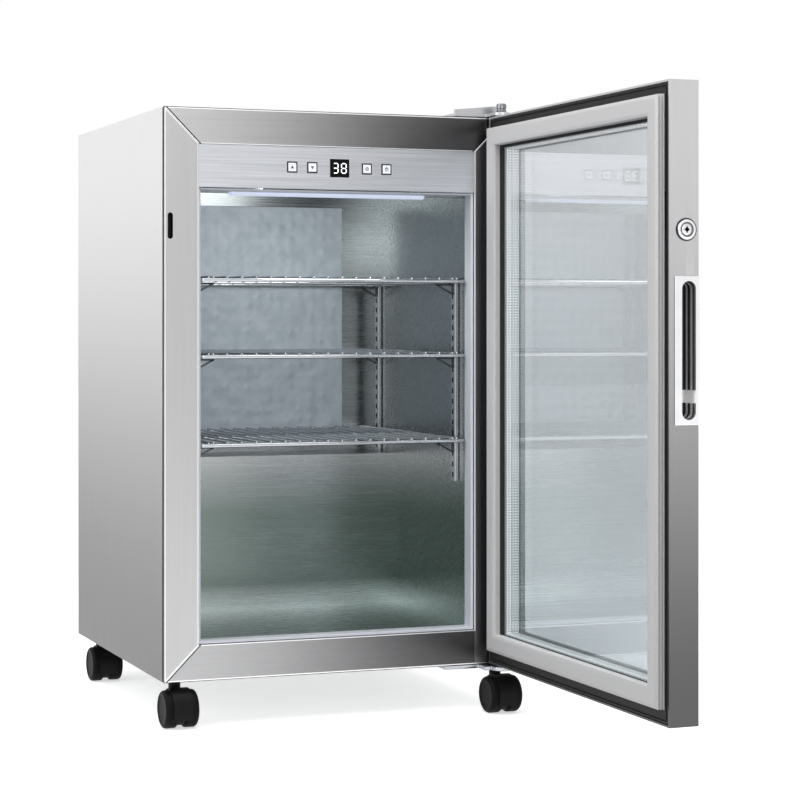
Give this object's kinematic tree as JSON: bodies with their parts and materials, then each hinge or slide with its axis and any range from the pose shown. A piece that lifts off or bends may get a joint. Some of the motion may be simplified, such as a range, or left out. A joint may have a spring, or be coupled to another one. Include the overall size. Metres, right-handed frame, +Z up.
{
  "type": "mini fridge",
  "caption": "Compact glass-door fridge in brushed steel with wire shelves, a digital control strip, a side-hinged locking door and swivel casters.",
  "frame": {"origin": "bottom centre of the whole part's box on the floor, door standing open", "axes": "+Z up, -Y is the fridge's front, which the open door points along, +X to the right seen from the front"},
  "size_m": [0.467, 0.8978, 0.773],
  "materials": {
    "shell_steel": "satin",
    "frame_steel": "brushed",
    "liner_steel": "satin",
    "chrome": "polished",
    "zinc_steel": "satin",
    "black_paint": "satin",
    "black_plastic": "matte",
    "dark_plastic": "matte",
    "white_plastic": "satin",
    "key_plastic": "gloss",
    "window_plastic": "gloss",
    "lamp_plastic": "frosted",
    "gasket_rubber": "satin",
    "tread_rubber": "matte",
    "glass": "clear",
    "spacer_aluminium": "perforated",
    "evaporator_aluminium": "frosted",
    "foam": "matte",
    "circuit_board": "satin"
  },
  "bodies": {
    "cabinet": {"left_side_panel": "shell_steel", "right_side_panel": "shell_steel", "top_panel": "shell_steel", "rear_panel": "shell_steel", "base_plate": "zinc_steel", "frame_left_stile": "frame_steel", "frame_right_stile": "frame_steel", "frame_bottom_rail": "frame_steel", "frame_top_rail": "frame_steel", "strike_pocket": "black_plastic", "thermal_break": "black_plastic", "inner_liner": "liner_steel", "foam_insulation": "foam", "throat_trim": "white_plastic", "machine_bay_panel": "zinc_steel", "rear_grille": "black_paint", "power_inlet": "black_plastic", "compressor": "black_paint", "condenser_coil": "black_paint", "control_fascia": "frame_steel", "display_window": "window_plastic", "control_housing": "white_plastic", "control_board": "circuit_board", "lamp_cover": "lamp_plastic", "evaporator_plate": "evaporator_aluminium", "shelf_rail_front_left": "chrome", "shelf_rail_front_right": "chrome", "shelf_rail_rear_left": "chrome", "shelf_rail_rear_right": "chrome", "top_hinge_bracket": "frame_steel", "top_hinge_pin": "chrome", "bottom_hinge_bracket": "chrome", "bottom_hinge_pin": "chrome"},
    "door": {"door_frame": "frame_steel", "door_liner": "dark_plastic", "door_gasket": "gasket_rubber", "outer_glass": "glass", "outer_spacer": "spacer_aluminium", "middle_glass": "glass", "inner_spacer": "spacer_aluminium", "inner_glass": "glass", "handle": "chrome", "lock_barrel": "chrome"},
    "lock_core": {"lock_plug": "chrome", "lock_cam": "zinc_steel"},
    "button_up": {"button_up": "key_plastic"},
    "button_down": {"button_down": "key_plastic"},
    "button_light": {"button_light": "key_plastic"},
    "button_power": {"button_power": "key_plastic"},
    "shelf_top": {"wire_shelf_top": "chrome"},
    "shelf_middle": {"wire_shelf_middle": "chrome"},
    "shelf_bottom": {"wire_shelf_bottom": "chrome"},
    "caster_front_left": {"caster_front_left": "black_plastic"},
    "wheels_front_left": {"wheels_front_left": "tread_rubber"},
    "caster_front_right": {"caster_front_right": "black_plastic"},
    "wheels_front_right": {"wheels_front_right": "tread_rubber"},
    "caster_rear_left": {"caster_rear_left": "black_plastic"},
    "wheels_rear_left": {"wheels_rear_left": "tread_rubber"},
    "caster_rear_right": {"caster_rear_right": "black_plastic"},
    "wheels_rear_right": {"wheels_rear_right": "tread_rubber"}
  },
  "joints": [
    {"name": "door_hinge", "type": "hinge", "parent": "cabinet", "child": "door", "pos_m": [0.2075, -0.00605, 0.407], "axis": [0, 0, 1], "range_deg": [-90, 10]},
    {"name": "lock_turn", "type": "hinge", "parent": "door", "child": "lock_core", "pos_m": [0.2181, -0.43885, 0.595], "axis": [0, -1, 0], "range_deg": [0, 90]},
    {"name": "button_up_press", "type": "slide", "parent": "cabinet", "child": "button_up", "axis": [0, 1, 0], "range_m": [0, 0.001], "stiffness_N_per_m": 400},
    {"name": "button_down_press", "type": "slide", "parent": "cabinet", "child": "button_down", "axis": [0, 1, 0], "range_m": [0, 0.001], "stiffness_N_per_m": 400},
    {"name": "button_light_press", "type": "slide", "parent": "cabinet", "child": "button_light", "axis": [0, 1, 0], "range_m": [0, 0.001], "stiffness_N_per_m": 400},
    {"name": "button_power_press", "type": "slide", "parent": "cabinet", "child": "button_power", "axis": [0, 1, 0], "range_m": [0, 0.001], "stiffness_N_per_m": 400},
    {"name": "shelf_top_slide", "type": "slide", "parent": "cabinet", "child": "shelf_top", "axis": [0, -1, 0], "range_m": [0, 0.25]},
    {"name": "shelf_middle_slide", "type": "slide", "parent": "cabinet", "child": "shelf_middle", "axis": [0, -1, 0], "range_m": [0, 0.25]},
    {"name": "shelf_bottom_slide", "type": "slide", "parent": "cabinet", "child": "shelf_bottom", "axis": [0, -1, 0], "range_m": [0, 0.25]},
    {"name": "caster_front_left_swivel", "type": "hinge", "parent": "cabinet", "child": "caster_front_left", "pos_m": [-0.2115, 0.04395, 0.047], "axis": [0, 0, 1], "continuous": true},
    {"name": "wheels_front_left_spin", "type": "hinge", "parent": "caster_front_left", "child": "wheels_front_left", "pos_m": [-0.2115, 0.02695, 0.023], "axis": [1, 0, 0], "continuous": true},
    {"name": "caster_front_right_swivel", "type": "hinge", "parent": "cabinet", "child": "caster_front_right", "pos_m": [0.2025, 0.00295, 0.047], "axis": [0, 0, 1], "continuous": true},
    {"name": "wheels_front_right_spin", "type": "hinge", "parent": "caster_front_right", "child": "wheels_front_right", "pos_m": [0.2025, -0.01405, 0.023], "axis": [1, 0, 0], "continuous": true},
    {"name": "caster_rear_left_swivel", "type": "hinge", "parent": "cabinet", "child": "caster_rear_left", "pos_m": [-0.2115, 0.40295, 0.047], "axis": [0, 0, 1], "continuous": true},
    {"name": "wheels_rear_left_spin", "type": "hinge", "parent": "caster_rear_left", "child": "wheels_rear_left", "pos_m": [-0.2115, 0.38595, 0.023], "axis": [1, 0, 0], "continuous": true},
    {"name": "caster_rear_right_swivel", "type": "hinge", "parent": "cabinet", "child": "caster_rear_right", "pos_m": [0.1995, 0.40295, 0.047], "axis": [0, 0, 1], "continuous": true},
    {"name": "wheels_rear_right_spin", "type": "hinge", "parent": "caster_rear_right", "child": "wheels_rear_right", "pos_m": [0.1995, 0.38595, 0.023], "axis": [1, 0, 0], "continuous": true}
  ]
}
